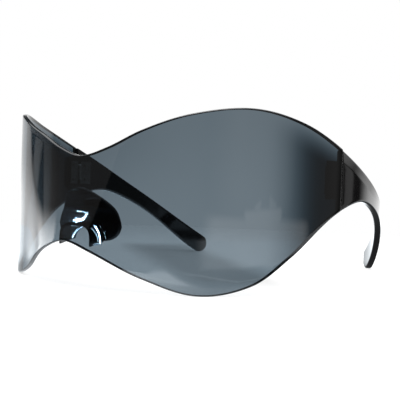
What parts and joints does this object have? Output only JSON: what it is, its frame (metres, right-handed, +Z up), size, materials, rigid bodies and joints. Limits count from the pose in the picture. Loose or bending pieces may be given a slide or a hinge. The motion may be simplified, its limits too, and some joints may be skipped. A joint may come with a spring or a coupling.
{
  "type": "shield sunglasses",
  "caption": "One-piece wraparound smoke lens with a wavy outline, a black nose saddle and two folding black arms on screw hinges.",
  "frame": {"origin": "under the middle of the whole, on the surface that the lens's lower lobes and the arm tips stand on", "axes": "+X to the wearer's left, +Y from the lens back along the arms, +Z up along the hinge pins"},
  "size_m": [0.145, 0.1666, 0.0662],
  "materials": {
    "smoke_lens": "clear moulded polycarbonate with a smoke tint, polished",
    "black_plastic": "polished black nylon",
    "steel": "plain steel, satin"
  },
  "bodies": {
    "front": {"lens": "smoke_lens", "nose_saddle": "black_plastic", "hinge_block_left": "black_plastic", "front_leaf_left": "steel", "front_leaf_screws_left": "steel", "hinge_screw_left": "steel", "hinge_block_right": "black_plastic", "front_leaf_right": "steel", "front_leaf_screws_right": "steel", "hinge_screw_right": "steel"},
    "left_arm": {"arm_left": "black_plastic", "rear_leaf_left": "steel", "rear_leaf_screws_left": "steel"},
    "right_arm": {"arm_right": "black_plastic", "rear_leaf_right": "steel", "rear_leaf_screws_right": "steel"}
  },
  "joints": [
    {"name": "left_fold", "type": "hinge", "parent": "front", "child": "left_arm", "pos_m": [0.06816, -0.00414, 0.04243], "axis": [0, 0, 1], "range_deg": [0, 90]},
    {"name": "right_fold", "type": "hinge", "parent": "front", "child": "right_arm", "pos_m": [-0.06816, -0.00414, 0.04243], "axis": [0, 0, -1], "range_deg": [0, 78]}
  ]
}
